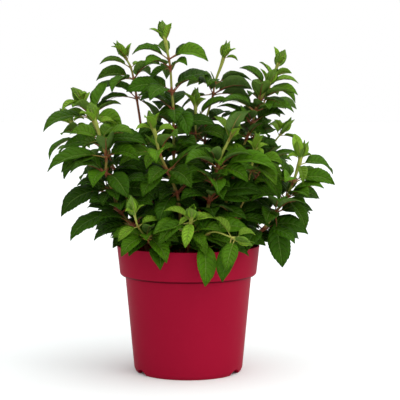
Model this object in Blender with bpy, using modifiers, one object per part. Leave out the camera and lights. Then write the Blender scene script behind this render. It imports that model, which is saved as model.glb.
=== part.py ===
"""A young hydrangea in a nursery pot: pot, potting soil, canes and opposite leaf pairs.

The pot stands on the plane z = 0 and its axis is the z axis. The plant's front is -Y.
Each cane stands in a bore of the soil and carries its growing tip. Each pair of grown
leaves is a piece of its own, joined by the knuckle that wraps the cane at its node.
"""

import math
from typing import NamedTuple

import bmesh
import bpy
from mathutils import Matrix, Vector
from mathutils.bvhtree import BVHTree

MM = 0.001

# Pot
POT_HEIGHT = 0.172
RIM_RADIUS = 0.0972
BAND_HEIGHT = 0.041
BAND_FOOT_RADIUS = 0.0927
SHOULDER_RADIUS = 0.0055
BODY_TOP_RADIUS = 0.0860
BODY_BASE_RADIUS = 0.0742
BASE_CHAMFER = 0.0025
WALL = 0.0022
FOOT_WIDTH = 0.005
FLOOR_UNDERSIDE = 0.008
FLOOR_THICKNESS = 0.0025
NOTCH_COUNT = 3
NOTCH_WIDTH = 0.022
NOTCH_HEIGHT = 0.007
DRAIN_COUNT = 6
DRAIN_RADIUS = 0.005
DRAIN_CIRCLE_RADIUS = 0.042
TURN_STEPS = 40
ARC_STEPS = 4

# Soil
SOIL_BELOW_RIM = 0.022
SOIL_CROWN = 0.004
SOIL_RINGS = 2

# Plant
CLEARANCE = 0.0003
ROOT_DEPTH = 0.022
ROOT_STAND = 0.002
CANE_FOOT_RADIUS = 0.0026
CANE_TIP_RADIUS = 0.0012
CANE_SIDES = 6
NODE_SPACING = 0.030
TIP_STEP = 0.0045
BUD_LENGTH = 0.006
BUD_RADIUS = 0.0005
KNUCKLE_WALL = 0.0013
KNUCKLE_HEIGHT = 0.005
BORE_SIDES = 8

# Leaf
WIDTH_SHARE = 0.52
NARROWEST_LEAF = 0.008
WIDEST_LEAF = 0.036
SHORTEST_LEAF = 0.018
SHORTEST_YOUNG_LEAF = 0.032
SHORTEST_GROWN_LEAF = 0.052
LOWER_LEAF = 0.060
LOWER_LEAF_DROOP = 0.15
PETIOLE_SHARE = 0.16
PETIOLE_RADIUS = 0.0010
LEAF_THICKNESS = 0.0014
LEAF_END_RADIUS = 0.0005
LEAF_ARCH = 0.15
LEAF_FOLD = math.radians(12)
BLADE_STATIONS = ((0.22, 0.92), (0.60, 0.88))
LIGHT_PULL = 1.0
LIGHT_LINE = (0.35, 0.060)

# Room kept around each cane and leaf
CANE_ROOM = 0.0035
LEAF_ROOM = 0.0010
TIP_LEAF_ROOM = 0.0004
LEAF_START_ROOM = 0.0035
PROBE = 0.0008
SQUARE = ((-1, -1), (1, -1), (1, 1), (-1, 1))
TURNS = (0, 12, -12, 24, -24, 36, -36, 50, -50, 70, -70, 95, -95, 125, -125, 160)
LIFTS = (0, 10, -10, 20, -20, 30, -30, 42, -42, 55, -55)
SHRINKS = (1.0, 0.86, 0.72, 0.58, 0.45, 0.35)
CANE_TURNS = (0, 4, -4, 8, -8, 13, -13, 19, -19, 26, -26)

UP = Vector((0, 0, 1))


class Shoot(NamedTuple):
    """One cane, in millimetres.

    root is a place on the soil as shares of its radius. knots are the cane's nodes from
    the root upwards, as offsets from the root. pairs gives, for a knot, where its two
    grown leaves end, young the same for a pair that is still one piece with the cane, and
    tip where the leaves of the growing tip end, all as offsets from there.
    """

    name: str
    root: tuple
    girth: float
    knots: tuple
    pairs: dict
    young: dict
    tip: tuple


SHOOTS = (
    Shoot("tall", (-0.089, 0.089), 1.1,
          ((-10, -6, 82), (-12, -8, 200), (-14, -8, 226), (-16, -4, 258), (-18, -4, 270), (-22, -4, 290)),
          {1: ((-25, 70, 5), (25, -50, -30)),
           2: ((-60, -25, 0), (60, 25, 25))},
          {3: ((-30, 25, -20), (25, -35, 5)),
           4: ((-50, -20, 10), (50, 15, 30))},
          ((-2, 12, 39), (8, -10, 28), (-22, -6, 20), (3, 2, 28))),
    Shoot("tall_left", (-0.316, 0.197), 1.0,
          ((-22, -4, 82), (-36, 8, 178), (-42, 8, 218), (-46, 8, 244), (-50, 8, 260), (-54, 8, 268)),
          {2: ((-45, -20, -10), (30, 30, -25)),
           3: ((-24, -40, -15), (15, 45, 15))},
          {4: ((-42, -20, 5), (14, 20, 18))},
          ((-10, -5, 34), (6, 8, 26), (4, -6, 18), (-6, 6, 20))),
    Shoot("left", (-0.582, 0.02), 0.95,
          ((-30, -2, 84), (-60, -4, 152), (-78, -2, 192), (-86, -4, 206)),
          {1: ((-65, 30, 20), (25, -30, 40)),
           2: ((-65, -20, -15), (25, 15, 70))},
          {},
          ((-30, -26, -4), (16, 22, 20), (-14, 18, 26), (4, -18, 20))),
    Shoot("front_left", (-0.444, -0.424), 1.1,
          ((-48, -14, 68), (-58, -18, 96), (-66, -22, 120), (-66, -24, 142), (-72, -26, 162),
           (-78, -28, 182)),
          {0: ((-65, -25, -35), (40, -45, 15)),
           1: ((-70, -20, -25), (45, -35, 30)),
           2: ((-40, 45, -10), (45, -40, -30)),
           3: ((-75, -15, -20), (25, 30, 30))},
          {4: ((60, -12, -8), (-28, 30, -15))},
          ((-14, -20, 26), (16, 14, 28), (-4, 8, 30), (6, -8, 24))),
    Shoot("back_left", (-0.612, 0.424), 0.85,
          ((-44, 10, 58), (-60, 14, 94), (-80, 18, 128), (-96, 20, 166), (-104, 20, 180)),
          {1: ((-55, -5, 5), (15, 40, 35)),
           2: ((-30, -35, -15), (25, 45, 20))},
          {3: ((-45, -10, -30), (26, 25, 0))},
          ((-32, -5, 17), (18, 6, 12), (-6, -24, 10), (6, 16, 22))),
    Shoot("front_centre", (-0.138, -0.296), 1.1,
          ((2, -16, 66), (-2, -24, 92), (-14, -34, 122), (-24, -42, 146), (-30, -44, 170)),
          {1: ((-30, -44, -35), (40, -15, 25)),
           2: ((-30, -40, -30), (60, -10, 35))},
          {3: ((-18, -26, -18), (24, 26, 4))},
          ((-8, -16, 36), (20, 12, 24), (-24, -16, 6), (4, -4, 30))),
    Shoot("centre", (0.02, 0.138), 0.9,
          ((8, 6, 110), (8, 8, 168), (8, 8, 190), (8, 8, 200)),
          {1: ((-20, 45, -35), (40, -30, -5)),
           2: ((-42, -22, 0), (30, -15, 35))},
          {},
          ((-7, -7, 32), (8, 6, 24), (5, -6, 14), (-4, 6, 16))),
    Shoot("back_centre", (0.158, 0.405), 0.95,
          ((6, 14, 94), (10, 26, 184), (20, 30, 224), (22, 30, 238), (32, 30, 268)),
          {1: ((-20, 45, -35), (20, -40, 0)),
           2: ((-40, -15, -20), (55, -5, -15))},
          {3: ((52, -15, 5), (-35, 25, 20))},
          ((5, 12, 32), (14, -12, 26), (20, 4, 18), (-4, -2, 22))),
    Shoot("right", (0.385, 0.158), 1.05,
          ((18, 0, 82), (36, 2, 140), (52, 2, 184), (56, 0, 200), (62, 0, 214), (70, -4, 230)),
          {1: ((-20, 45, -10), (65, 20, 10)),
           2: ((-38, -38, 0), (45, 25, 10)),
           3: ((-40, -30, 10), (15, 45, -15))},
          {4: ((32, -34, -10), (-18, 24, 32))},
          ((40, -16, -18), (-36, 16, 30), (32, -10, 36), (-6, 4, 28))),
    Shoot("far_right", (0.513, 0.582), 0.8,
          ((22, 22, 92), (44, 30, 162), (58, 33, 208), (72, 34, 248), (78, 34, 264)),
          {1: ((-35, 30, -15), (40, 25, 10))},
          {2: ((-26, 26, -12), (24, -20, 4)),
           3: ((-16, 12, 22), (22, -14, 10))},
          ((-4, 8, 30), (10, -10, 18))),
    Shoot("front_right", (0.197, -0.336), 1.25,
          ((10, -26, 84), (16, -32, 106), (20, -36, 126), (28, -40, 148), (34, -40, 160)),
          {0: ((65, -30, 10), (-25, -45, 5)),
           1: ((-20, -48, 20), (30, 40, 10)),
           2: ((80, -25, 0), (-40, 25, 25))},
          {},
          ((10, -18, 60), (18, 16, 40), (-16, 12, 34), (12, -16, 26))),
    Shoot("pale", (0.385, -0.266), 0.75,
          ((26, -26, 58), (38, -26, 82), (48, -20, 122), (52, -18, 142)),
          {0: ((5, -45, -40), (-40, -25, 20)),
           2: ((40, -22, -35), (-30, 45, -10))},
          {},
          ((4, -6, 36), (12, 10, 24), (-8, 8, 18), (8, -12, 14))),
    Shoot("side_right", (0.651, -0.158), 1.05,
          ((40, -20, 44), (56, -24, 66), (70, -26, 86), (80, -26, 108), (86, -26, 128)),
          {0: ((-25, -50, -20), (20, 45, -10)),
           1: ((5, -20, -70), (-25, 40, 15)),
           2: ((20, -28, -32), (-40, -25, 0)),
           3: ((55, -10, 0), (-40, 10, 35))},
          {},
          ((50, 26, -6), (6, -34, -20), (-4, 8, 46), (4, -14, 38), (-14, -8, 20), (18, 4, 22))),
    Shoot("back_right", (0.632, 0.247), 0.85,
          ((26, 16, 80), (46, 26, 128), (60, 30, 156), (68, 30, 166)),
          {0: ((50, 15, 20), (-15, 40, 30)),
           1: ((35, -28, 10), (-25, 35, 25))},
          {},
          ((30, -12, -10), (-24, 14, 18), (14, 16, 18), (-8, -10, 24))),
    Shoot("cross", (0, -0.651), 0.7,
          ((2, -26, 42), (4, -42, 58)),
          {},
          {0: ((28, -20, -24), (-30, 14, 10))},
          ((-42, -22, -24), (36, 5, 4), (-36, 2, 10), (-4, -30, -28), (12, 4, 10), (-8, -8, 12))),
    Shoot("low_left", (-0.385, -0.582), 0.7,
          ((-18, -30, 38), (-28, -46, 54), (-32, -50, 68)),
          {0: ((-22, -34, -15), (24, -32, -22))},
          {1: ((-24, -14, -18), (26, 8, 6))},
          ((-10, -12, 10), (12, 6, 14))),
    Shoot("low_right", (0.266, -0.632), 0.75,
          ((-4, -30, 38), (10, -46, 48), (30, -53, 42)),
          {0: ((5, -34, -58), (-16, 8, 16))},
          {},
          ((-8, -22, -55), (-20, 14, 24), (-4, -30, -40), (32, 18, 2))),
    Shoot("back_low_left", (-0.296, 0.651), 0.9,
          ((-6, 14, 50), (-20, 34, 104), (-28, 46, 144)),
          {0: ((-60, 30, 10), (50, 25, 20)),
           1: ((-5, 46, 14), (-65, -20, 15))},
          {},
          ((-40, 20, 10), (40, -10, 16), (4, 18, 42), (-12, -24, 34))),
    Shoot("back_low_right", (0.247, 0.691), 0.9,
          ((8, 14, 44), (22, 32, 96), (30, 41, 140)),
          {0: ((60, 25, 10), (-35, 45, 15)),
           1: ((15, 44, 14), (65, -15, 15))},
          {},
          ((44, 18, 10), (-40, 5, 12), (8, 20, 42), (8, -28, 34))),
)


# ---------------------------------------------------------------- scene and materials

def clear_scene():
    for obj in list(bpy.data.objects):
        bpy.data.objects.remove(obj, do_unlink=True)


def new_collection(name):
    collection = bpy.data.collections.new(name)
    bpy.context.scene.collection.children.link(collection)
    return collection


def new_material(name, colour, roughness):
    material = bpy.data.materials.new(name)
    material.use_nodes = True
    shader = material.node_tree.nodes["Principled BSDF"]
    shader.inputs["Base Color"].default_value = (*colour, 1)
    shader.inputs["Roughness"].default_value = roughness
    shader.inputs["Metallic"].default_value = 0
    return material


def add_object(name, mesh, collection, location=(0, 0, 0), parent=None, material=None):
    obj = bpy.data.objects.new(name, mesh)
    obj.location = location
    obj.parent = parent
    if material:
        mesh.materials.append(material)
    collection.objects.link(obj)
    return obj


def add_primitive(name, collection, location, rotation=(0, 0, 0), scale=(1, 1, 1), **cylinder):
    """A cylinder with its scale applied, used as a cutter and left out of the model."""
    bpy.ops.mesh.primitive_cylinder_add(location=location, rotation=rotation, scale=scale, **cylinder)
    cutter = bpy.context.object
    bpy.ops.object.transform_apply(location=False, rotation=False, scale=True)
    cutter.name = name
    cutter.hide_render = True
    cutter.display_type = "WIRE"
    for other in list(cutter.users_collection):
        other.objects.unlink(cutter)
    collection.objects.link(cutter)
    return cutter


def turned(name, profile, collection, **placing):
    """A solid of revolution from (radius, height) points, down the outer side."""
    mesh = bpy.data.meshes.new(name)
    points = [(radius, 0, height) for radius, height in profile]
    mesh.from_pydata(points, [(i, i + 1) for i in range(len(points) - 1)], [])
    obj = add_object(name, mesh, collection, **placing)
    screw = obj.modifiers.new("turn", "SCREW")
    screw.steps = screw.render_steps = TURN_STEPS
    screw.use_merge_vertices = True
    screw.merge_threshold = 0.00001
    screw.use_smooth_shade = False
    return obj


def cut(obj, cutters):
    boolean = obj.modifiers.new("cut", "BOOLEAN")
    boolean.operation = "DIFFERENCE"
    boolean.operand_type = "COLLECTION"
    boolean.collection = cutters


# ---------------------------------------------------------------- pot and soil

def arc(radius, height, size, start, end):
    """Points of a round stretch about (radius, height), with its angles in degrees."""
    steps = [start + (end - start) * i / ARC_STEPS for i in range(ARC_STEPS + 1)]
    return [(radius + size * math.cos(math.radians(a)), height + size * math.sin(math.radians(a)))
            for a in steps]


def band_foot():
    return POT_HEIGHT - BAND_HEIGHT


def inner_wall():
    """The pot's inner side from the floor to the lip."""
    floor = FLOOR_UNDERSIDE + FLOOR_THICKNESS
    slope = (BODY_TOP_RADIUS - BODY_BASE_RADIUS) / band_foot()
    return [(BODY_BASE_RADIUS + slope * floor - WALL, floor),
            (BODY_TOP_RADIUS - WALL, band_foot() + WALL),
            (BAND_FOOT_RADIUS - WALL, band_foot() + SHOULDER_RADIUS + WALL),
            (RIM_RADIUS - WALL, POT_HEIGHT - WALL / 2)]


def pot_profile():
    floor = FLOOR_UNDERSIDE + FLOOR_THICKNESS
    lip = arc(RIM_RADIUS - WALL / 2, POT_HEIGHT - WALL / 2, WALL / 2, 180, 0)
    shoulder = arc(BAND_FOOT_RADIUS - SHOULDER_RADIUS, band_foot() + SHOULDER_RADIUS,
                   SHOULDER_RADIUS, 0, -90)
    foot = BODY_BASE_RADIUS - BASE_CHAMFER
    return [(0, floor), *inner_wall()[:-1], *lip, *shoulder,
            (BODY_TOP_RADIUS, band_foot()),
            (BODY_BASE_RADIUS, BASE_CHAMFER * 2),
            (foot, 0),
            (foot - FOOT_WIDTH, 0),
            (foot - FOOT_WIDTH, FLOOR_UNDERSIDE),
            (0, FLOOR_UNDERSIDE)]


def make_pot(collection, cutters, **placing):
    pot = turned("pot", pot_profile(), collection, **placing)
    reach = BODY_BASE_RADIUS
    for i in range(NOTCH_COUNT):
        angle = math.radians(90 + 360 * i / NOTCH_COUNT)
        place = (reach * math.cos(angle), reach * math.sin(angle), 0)
        add_primitive(f"notch_cutter_{i + 1}", cutters, place, (0, math.pi / 2, angle),
                      (NOTCH_HEIGHT, NOTCH_WIDTH / 2, 1), radius=1, depth=reach / 2, vertices=20)
    for i in range(DRAIN_COUNT):
        angle = 2 * math.pi * (i + 0.5) / DRAIN_COUNT
        place = (DRAIN_CIRCLE_RADIUS * math.cos(angle), DRAIN_CIRCLE_RADIUS * math.sin(angle),
                 FLOOR_UNDERSIDE)
        add_primitive(f"drain_cutter_{i + 1}", cutters, place, radius=DRAIN_RADIUS,
                      depth=FLOOR_THICKNESS * 4, vertices=12)
    cut(pot, cutters)
    return pot


def soil_edge():
    """Radius and height of the soil's edge, just inside the pot's band."""
    (_, _, (low_radius, low), (high_radius, high)) = inner_wall()
    height = POT_HEIGHT - SOIL_BELOW_RIM
    radius = low_radius + (high_radius - low_radius) * (height - low) / (high - low)
    return radius - CLEARANCE, height


def soil_height(x, y):
    radius, height = soil_edge()
    share = min(math.hypot(x, y) / radius, 1)
    return height + SOIL_CROWN * (1 - share * share)


def soil_profile():
    radius, height = soil_edge()
    steps = [radius * i / SOIL_RINGS for i in range(SOIL_RINGS)]
    crown = [(step, soil_height(step, 0)) for step in steps]
    side = [(r - CLEARANCE, z) for r, z in reversed(inner_wall()[:-1])]
    bottom_radius, floor = side[-1]
    side[-1] = (bottom_radius, floor + CLEARANCE)
    return [*crown, (radius, height), *side, (0, floor + CLEARANCE)]


def make_soil(collection, cutters, canes, **placing):
    soil = turned("potting_soil", soil_profile(), collection, **placing)
    for cane in canes:
        foot = cane.rings[0].centre
        depth = ROOT_DEPTH + CLEARANCE
        radius = (cane.rings[0].radius + CLEARANCE) / math.cos(math.pi / BORE_SIDES)
        place = (foot.x, foot.y, foot.z - CLEARANCE + depth)
        add_primitive(f"bore_cutter_{cane.shoot.name}", cutters, place, radius=radius,
                      depth=depth * 2, vertices=BORE_SIDES)
    cut(soil, cutters)
    return soil


# ---------------------------------------------------------------- canes

class Ring(NamedTuple):
    centre: Vector
    radius: float
    side: Vector
    along: Vector

    def corners(self, grow=0.0, turn=0.0):
        across = self.along.cross(self.side)
        angles = [turn + 2 * math.pi * i / CANE_SIDES for i in range(CANE_SIDES)]
        return [self.centre + (self.side * math.cos(a) + across * math.sin(a)) * (self.radius + grow)
                for a in angles]


class Node(NamedTuple):
    """A straight stretch of a cane that bears leaves, from its ring low to the next one.

    kind is knuckle for a pair that is a piece of its own, and lower, young or tip for
    leaves that grow on the cane itself. ends are where the leaves end, as offsets.
    """

    low: int
    kind: str
    ends: list


class Cane(NamedTuple):
    shoot: Shoot
    rings: list
    nodes: list

    def stretch(self, node):
        """The ring in the middle of a node."""
        low, high = self.rings[node.low], self.rings[node.low + 1]
        along = (high.centre - low.centre).normalized()
        side = (low.side - along * low.side.dot(along)).normalized()
        return Ring((low.centre + high.centre) / 2, (low.radius + high.radius) / 2, side, along)


def lower_ends(place, number):
    """Where the leaves of a lower node end: crosswise to the node below, and drooping."""
    heading = math.atan2(place.y, place.x) + math.pi / 4 + math.pi / 2 * number
    across = Vector((math.cos(heading), math.sin(heading), 0)) * LOWER_LEAF
    droop = UP * LOWER_LEAF * LOWER_LEAF_DROOP
    return [across - droop, -across - droop]


def hermite(start, end, leave, arrive, t):
    return (start * (2 * t ** 3 - 3 * t ** 2 + 1) + leave * (t ** 3 - 2 * t ** 2 + t)
            + end * (3 * t ** 2 - 2 * t ** 3) + arrive * (t ** 3 - t ** 2))


def cane_course(shoot, turn):
    """Points from the root's foot to the growing tip, and the nodes between them.

    A cane leaves the soil upright, runs smoothly through its knots, has more nodes where
    its knots stand far apart, and is straight along each node.
    """
    radius, _ = soil_edge()
    x, y = shoot.root[0] * radius, shoot.root[1] * radius
    root = Vector((x, y, soil_height(x, y)))
    spin = Matrix.Rotation(math.radians(turn), 3, "Z")
    stops = [root + UP * ROOT_STAND] + [root + spin @ Vector(knot) * MM for knot in shoot.knots]
    points = [root - UP * ROOT_DEPTH, stops[0]]
    nodes = []
    for i in range(1, len(stops)):
        before, start, end = stops[max(i - 2, 0)], stops[i - 1], stops[i]
        after = stops[min(i + 1, len(stops) - 1)]
        leave = UP * (end - start).length if i == 1 else (end - before) / 2
        arrive = (after - start) / 2
        count = max(1, round((end - start).length / NODE_SPACING))
        for step in range(1, count + 1):
            t = step / count
            place = hermite(start, end, leave, arrive, t)
            ahead = hermite(start, end, leave, arrive, t + 0.01) - place
            half = ahead.normalized() * KNUCKLE_HEIGHT / 2
            if step < count:
                nodes.append(Node(len(points), "lower", lower_ends(place, len(nodes))))
                points += [place - half, place + half]
            elif i - 1 in shoot.pairs or i - 1 in shoot.young:
                kind = "knuckle" if i - 1 in shoot.pairs else "young"
                ends = shoot.pairs.get(i - 1) or shoot.young[i - 1]
                nodes.append(Node(len(points), kind, [Vector(end) * MM for end in ends]))
                points += [place - half, place + half]
            else:
                points.append(place)
    end = points[-1]
    along = (points[-1] - points[-2]).normalized()
    for step in range(0, len(shoot.tip), 2):
        points.append(points[-1] + along * TIP_STEP)
        ends = [end + Vector(offset) * MM - (points[-1] + points[-2]) / 2
                for offset in shoot.tip[step:step + 2]]
        nodes.append(Node(len(points) - 2, "tip", ends))
    return points, nodes


def grow_cane(shoot, turn):
    points, nodes = cane_course(shoot, turn)
    lengths = [0.0]
    for start, end in zip(points, points[1:]):
        lengths.append(lengths[-1] + (end - start).length)
    rings = []
    side = Vector((1, 0, 0))
    for i, point in enumerate(points):
        along = (points[min(i + 1, len(points) - 1)] - points[max(i - 1, 0)]).normalized()
        side = (side - along * side.dot(along)).normalized()
        share = (lengths[i] / lengths[-1]) ** 0.8
        radius = shoot.girth * (CANE_FOOT_RADIUS + (CANE_TIP_RADIUS - CANE_FOOT_RADIUS) * share)
        rings.append(Ring(point, radius, side, along))
    bud = Ring(points[-1] + along * BUD_LENGTH, BUD_RADIUS, side, along)
    return Cane(shoot, rings + [bud], nodes)


# ---------------------------------------------------------------- leaves

class Leaf(NamedTuple):
    sections: list
    reach: Vector


def leaf_section(centre, side, normal, width, thickness, fold):
    lift = normal * math.sin(fold) * width
    flank = side * math.cos(fold) * width
    return [centre + normal * thickness / 2, centre + flank + lift,
            centre - normal * thickness / 2, centre - flank + lift]


def blade_side(start, course):
    """The level line across a blade, turned so that its face looks up and to the light.

    The light reaches the plant's outside, so a blade turns away from a line through the
    plant that runs from left to right, and an upright young leaf keeps facing its cane.
    """
    share, depth = LIGHT_LINE
    light = Vector((share * start.x, start.y - depth, 0)).normalized()
    pull = LIGHT_PULL * (1 - max(0, course.z)) ** 2
    face = (UP - course * course.z).normalized() + (light - course * light.dot(course)) * pull
    return course.cross(face).normalized()


def leaf_sections(start, reach, room=0.0, petiole=False):
    """Four-cornered sections from the petiole's end to the leaf's end.

    The midrib arches above the straight line to the leaf's end, and the blade folds up a
    little on both sides of it. room makes the leaf stouter, and petiole adds two sections
    ahead: the face it grows from and one where it has cleared what bears it.
    """
    length = reach.length
    course = reach / length
    lift = UP - course * course.z
    side = blade_side(start, course)
    width = min(max(WIDTH_SHARE * length, NARROWEST_LEAF), WIDEST_LEAF) / 2
    blade = 1 - PETIOLE_SHARE
    stations = [(PETIOLE_SHARE, PETIOLE_RADIUS, LEAF_THICKNESS, 0.0)]
    stations += [(PETIOLE_SHARE + blade * t, width * w, LEAF_THICKNESS, LEAF_FOLD)
                 for t, w in BLADE_STATIONS]
    stations += [(1.0, LEAF_END_RADIUS, 2 * LEAF_END_RADIUS, 0.0)]
    if petiole:
        clear = min(LEAF_START_ROOM / length / PETIOLE_SHARE, 0.8)
        stations = [(PETIOLE_SHARE * t, CANE_FOOT_RADIUS / 2 * (1 - t) + PETIOLE_RADIUS * t,
                     KNUCKLE_HEIGHT * (1 - t) + LEAF_THICKNESS * t, 0.0)
                    for t in (0.0, clear)] + stations
    sections = []
    for t, half_width, thickness, fold in stations:
        centre = start + reach * t + lift * (4 * LEAF_ARCH * length * t * (1 - t))
        tangent = (reach + lift * (4 * LEAF_ARCH * length * (1 - 2 * t))).normalized()
        normal = side.cross(tangent).normalized()
        sections.append(leaf_section(centre, side, normal, half_width + room,
                                     thickness + 2 * room, fold))
    return sections


def loft_polygons(sections):
    count = len(sections[0])
    polygons = [list(range(count))[::-1]]
    for s in range(len(sections) - 1):
        low, high = s * count, (s + 1) * count
        for i in range(count):
            j = (i + 1) % count
            polygons.append([low + i, low + j, high + j, high + i])
    last = (len(sections) - 1) * count
    polygons.append([last + i for i in range(count)])
    return [corner for section in sections for corner in section], polygons


class Obstacle:
    """A solid that other pieces stay clear of."""

    def __init__(self, tree, corners):
        self.tree = tree
        self.low = [min(c[axis] for c in corners) for axis in range(3)]
        self.high = [max(c[axis] for c in corners) for axis in range(3)]

    @classmethod
    def from_loft(cls, sections):
        corners, polygons = loft_polygons(sections)
        return cls(BVHTree.FromPolygons(corners, polygons), corners)

    @classmethod
    def from_object(cls, obj):
        depsgraph = bpy.context.evaluated_depsgraph_get()
        mesh = obj.evaluated_get(depsgraph).to_mesh()
        corners = [vertex.co.copy() for vertex in mesh.vertices]
        polygons = [list(polygon.vertices) for polygon in mesh.polygons]
        return cls(BVHTree.FromPolygons(corners, polygons), corners)

    def meets(self, other):
        for axis in range(3):
            if self.low[axis] > other.high[axis] or other.low[axis] > self.high[axis]:
                return False
        return bool(self.tree.overlap(other.tree))


def place_canes(obstacles):
    """Stand the canes one by one, each turned about its root until it clears the others."""
    canes = []
    for shoot in SHOOTS:
        for turn in CANE_TURNS:
            cane = grow_cane(shoot, turn)
            above = cane.rings[2:]
            wide = Obstacle.from_loft([ring.corners(grow=CANE_ROOM) for ring in above])
            if not any(wide.meets(obstacle) for obstacle in obstacles):
                break
        else:
            raise ValueError(f"no room for the cane {shoot.name}")
        canes.append(cane)
        obstacles.append(Obstacle.from_loft([ring.corners() for ring in cane.rings]))
    return canes


def leaf_tries():
    tries = [(abs(turn) / 10 + abs(lift) / 8 + (1 - shrink) * 14, turn, lift, shrink)
             for turn in TURNS for lift in LIFTS for shrink in SHRINKS]
    return [attempt[1:] for attempt in sorted(tries, key=lambda attempt: attempt[0])]


def turn_reach(reach, turn, lift, shrink):
    spun = Matrix.Rotation(math.radians(turn), 3, "Z") @ reach
    heading = math.atan2(spun.y, spun.x)
    rise = math.asin(max(-1, min(1, spun.z / spun.length))) + math.radians(lift)
    rise = max(min(rise, math.radians(84)), math.radians(-84))
    flat = Vector((math.cos(heading), math.sin(heading), 0))
    return (flat * math.cos(rise) + UP * math.sin(rise)) * spun.length * shrink


def place_leaf(start, reach, room, obstacles, tries):
    """The leaf nearest to the wanted reach that clears all that is placed already.

    Its first millimetres touch the piece that bears it, so they are tried apart.
    """
    probe = Obstacle.from_loft([[start + Vector((x, y, z)) * PROBE for x, y in SQUARE] for z in (-1, 1)])
    others = [obstacle for obstacle in obstacles if not probe.meets(obstacle)]
    for turn, lift, shrink in tries:
        moved = turn_reach(reach, turn, lift, shrink)
        sections = leaf_sections(start, moved, room=room, petiole=True)
        wide = Obstacle.from_loft(sections[1:])
        stub = Obstacle.from_loft(sections[:2])
        if any(wide.meets(obstacle) for obstacle in obstacles):
            continue
        if not any(stub.meets(obstacle) for obstacle in others):
            obstacles.append(Obstacle.from_loft(leaf_sections(start, moved, petiole=True)))
            return Leaf(leaf_sections(start, moved), moved)
    return None


# ---------------------------------------------------------------- growing meshes

def grow(bm, face, sections):
    """Extrude a face through sections that have as many corners as it has."""
    for section in sections:
        face = bmesh.ops.extrude_discrete_faces(bm, faces=[face])["faces"][0]
        corners = list(face.verts)
        count = len(corners)
        shifts = [sum((corners[i].co - section[(i + k) % count]).length_squared
                      for i in range(count)) for k in range(count)]
        shift = shifts.index(min(shifts))
        for i, corner in enumerate(corners):
            corner.co = section[(i + shift) % count]
    return face


def side_faces(bm, centre, along, reach):
    """Four-cornered faces around a cane or knuckle at centre that look outwards."""
    found = []
    for face in bm.faces:
        middle = face.calc_center_median() - centre
        outwards = face.normal.dot(middle) > 0 and abs(face.normal.dot(along)) < 0.5
        if len(face.verts) == 4 and outwards and abs(middle.dot(along)) < reach:
            found.append(face)
    return found


def two_faces(faces, first, second):
    """The face that looks most towards first, and the best one for second beyond its sides."""
    face_a = max(faces, key=lambda face: face.normal.dot(first))
    far = [face for face in faces if not set(face.verts) & set(face_a.verts)]
    face_b = max(far, key=lambda face: face.normal.dot(second))
    return face_a, face_b


def level(vector):
    return Vector((vector.x, vector.y, vector.z / 4)).normalized()


def ring_prism(bm, low, high):
    """A closed prism whose ends are two rings of corners."""
    cone = bmesh.ops.create_cone(bm, cap_ends=True, segments=CANE_SIDES, radius1=1, radius2=1, depth=2)
    for vertex in cone["verts"]:
        section = high if vertex.co.z > 0 else low
        index = math.floor(math.atan2(vertex.co.y, vertex.co.x) / (2 * math.pi) * CANE_SIDES) % CANE_SIDES
        vertex.co = section[index]
    bm.normal_update()


def to_object(name, bm, origin, collection, **placing):
    bmesh.ops.translate(bm, verts=bm.verts, vec=-origin)
    bmesh.ops.recalc_face_normals(bm, faces=bm.faces)
    mesh = bpy.data.meshes.new(name)
    bm.to_mesh(mesh)
    bm.free()
    return add_object(name, mesh, collection, location=origin, **placing)


def make_cane(cane, leaves, collection, **placing):
    """The cane with its bud, and the leaves that grow on it, by the node's ring."""
    bm = bmesh.new()
    rings = cane.rings
    ring_prism(bm, rings[0].corners(), rings[1].corners())
    top = max(bm.faces, key=lambda face: face.calc_center_median().z)
    grow(bm, top, [ring.corners() for ring in rings[2:]])
    bm.normal_update()
    hosts = []
    for node in cane.nodes:
        if leaves.get(node.low):
            ring = cane.stretch(node)
            faces = side_faces(bm, ring.centre, ring.along, TIP_STEP / 4)
            near = sorted(faces, key=lambda face: (face.calc_center_median() - ring.centre).length)
            pair = leaves[node.low]
            directions = [level(leaf.reach) for leaf in pair]
            both = two_faces(near[:CANE_SIDES], directions[0], directions[-1])
            hosts += list(zip(both, pair))
    for face, leaf in hosts:
        grow(bm, face, leaf.sections)
    return to_object(f"cane_{cane.shoot.name}", bm, rings[1].centre, collection, **placing)


def knuckle_ring(cane, node):
    """The knuckle's outer ring, whose bore clears the corners of the cane."""
    ring = cane.stretch(node)
    widest = cane.rings[node.low].radius
    inner = (widest + CLEARANCE) / math.cos(math.pi / CANE_SIDES)
    return ring._replace(radius=inner + KNUCKLE_WALL)


def make_knuckle(bm, ring, heading):
    """A six-sided ring, spun from its section so that one side faces heading."""
    across = ring.along.cross(ring.side)
    turn = math.atan2(heading.dot(across), heading.dot(ring.side)) + math.pi / CANE_SIDES
    outwards = ring.side * math.cos(turn) + across * math.sin(turn)
    half = ring.along * (KNUCKLE_HEIGHT / 2 - CLEARANCE)
    inner = ring.centre + outwards * (ring.radius - KNUCKLE_WALL)
    outer = ring.centre + outwards * ring.radius
    corners = [bm.verts.new(place) for place in (inner - half, outer - half, outer + half, inner + half)]
    section = [bm.edges.new((corners[i - 1], corners[i])) for i in range(4)]
    bmesh.ops.spin(bm, geom=corners + section, cent=ring.centre, axis=ring.along,
                   angle=2 * math.pi, steps=CANE_SIDES, use_merge=True)
    bmesh.ops.recalc_face_normals(bm, faces=bm.faces)


def make_pair(name, ring, leaves, collection, **placing):
    bm = bmesh.new()
    headings = [level(leaf.reach) for leaf in leaves]
    make_knuckle(bm, ring, headings[0])
    hosts = two_faces(side_faces(bm, ring.centre, ring.along, KNUCKLE_HEIGHT / 4), *headings)
    for leaf, host in zip(leaves, hosts):
        grow(bm, host, leaf.sections)
    return to_object(name, bm, ring.centre, collection, **placing)


# ---------------------------------------------------------------- the whole plant

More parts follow.
